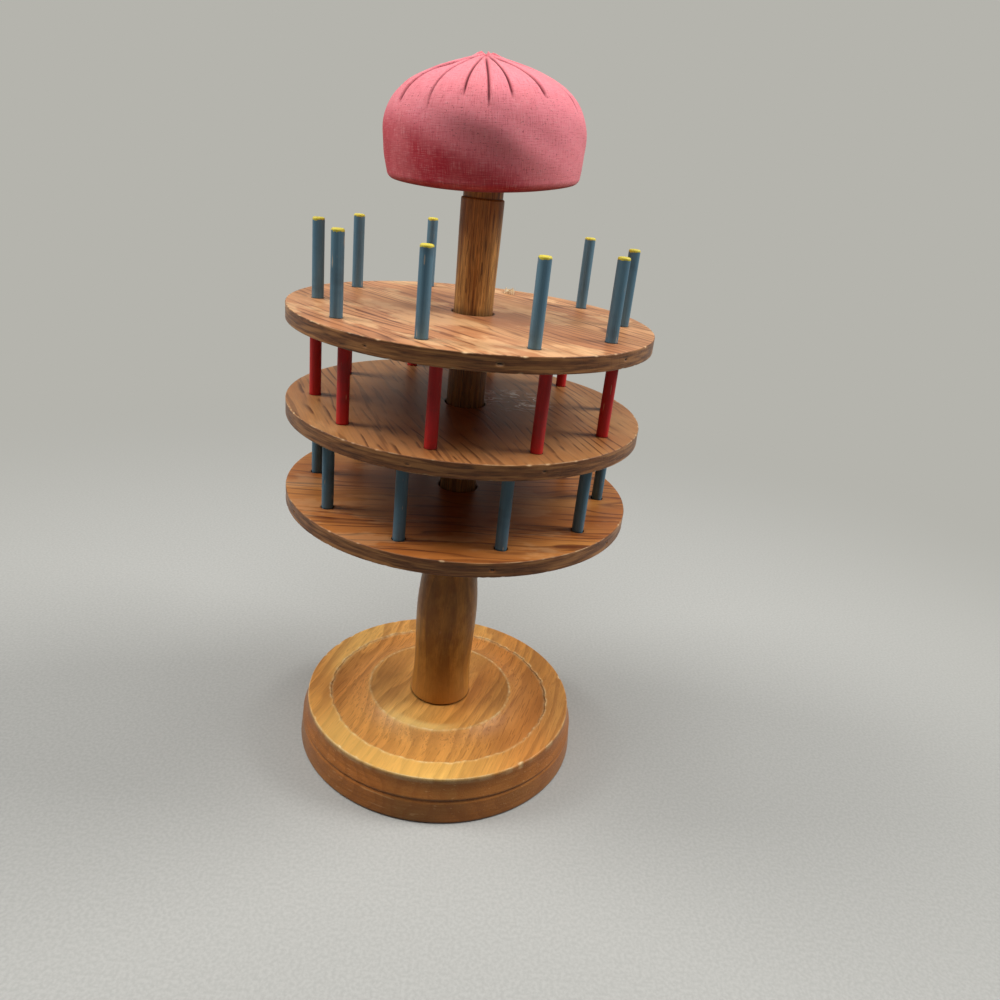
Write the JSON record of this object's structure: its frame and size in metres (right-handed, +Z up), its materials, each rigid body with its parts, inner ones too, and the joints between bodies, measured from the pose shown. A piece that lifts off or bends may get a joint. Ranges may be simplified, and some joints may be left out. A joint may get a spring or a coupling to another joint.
{
  "type": "thread rack",
  "caption": "Revolving thread rack: a turned wooden stand with loose plywood tiers ringed by pegs for cotton reels, under a gathered pincushion.",
  "frame": {"origin": "centre of the base's underside, on the axis that the tiers turn about", "axes": "+Z up along the spindle, the rack's longest extent; -Y faces the viewer, +X to the viewer's right"},
  "size_m": [0.154, 0.154, 0.3112],
  "materials": {
    "turned_base": "satin shellac, open grain",
    "column_wood": "satin shellac, smooth",
    "spindle_wood": "thin satin shellac, open pores",
    "bottom_plywood": "thin satin varnish",
    "middle_plywood": "thin satin varnish",
    "top_plywood": "thin satin varnish",
    "broken_wood": "raw, splintered",
    "board_wood": "raw",
    "blue_paint_lower": "satin paint on wood",
    "blue_paint_top": "satin paint on wood, yellow end",
    "red_paint": "satin paint on wood",
    "wadding": "loose wadding",
    "cushion_cloth": "plain weave cotton"
  },
  "bodies": {
    "stand": {"base": "turned_base", "lower_column": "column_wood", "spindle": "spindle_wood"},
    "bottom_tier": {"bottom_disc": "bottom_plywood", "bottom_peg_1": "blue_paint_lower", "bottom_peg_2": "blue_paint_lower", "bottom_peg_3": "blue_paint_lower", "bottom_peg_4": "blue_paint_lower", "bottom_peg_5": "blue_paint_lower", "bottom_peg_6": "blue_paint_lower", "bottom_peg_7": "blue_paint_lower", "bottom_peg_8": "blue_paint_lower", "bottom_peg_9": "blue_paint_lower", "bottom_peg_10": "blue_paint_lower"},
    "middle_tier": {"middle_disc": "middle_plywood", "middle_peg_1": "red_paint", "middle_peg_2": "red_paint", "middle_peg_3": "red_paint", "middle_peg_4": "red_paint", "middle_peg_5": "red_paint", "middle_peg_6": "red_paint", "middle_peg_7": "red_paint", "middle_peg_8": "red_paint", "middle_peg_9": "red_paint", "middle_peg_10": "red_paint"},
    "top_tier": {"top_disc": "top_plywood", "top_peg_1": "blue_paint_top", "top_peg_2": "blue_paint_top", "top_peg_4": "blue_paint_top", "top_peg_5": "blue_paint_top", "top_peg_6": "blue_paint_top", "top_peg_7": "blue_paint_top", "top_peg_8": "blue_paint_top", "top_peg_9": "blue_paint_top", "top_peg_10": "blue_paint_top", "top_peg_stub": "broken_wood"},
    "pincushion": {"cushion_stem": "spindle_wood", "cushion_board": "board_wood", "cushion_stuffing": "wadding", "cushion_cover": "cushion_cloth"}
  },
  "joints": [
    {"name": "bottom_tier_turn", "type": "hinge", "parent": "stand", "child": "bottom_tier", "pos_m": [0, 0, 0.1308], "axis": [0, 0, 1], "continuous": true},
    {"name": "middle_tier_turn", "type": "hinge", "parent": "stand", "child": "middle_tier", "pos_m": [0, 0, 0.17045], "axis": [0, 0, 1], "continuous": true},
    {"name": "top_tier_turn", "type": "hinge", "parent": "stand", "child": "top_tier", "pos_m": [0, 0, 0.2101], "axis": [0, 0, 1], "continuous": true},
    {"name": "pincushion_lift", "type": "slide", "parent": "stand", "child": "pincushion", "axis": [0, 0, 1], "range_m": [0, 0.018]}
  ]
}
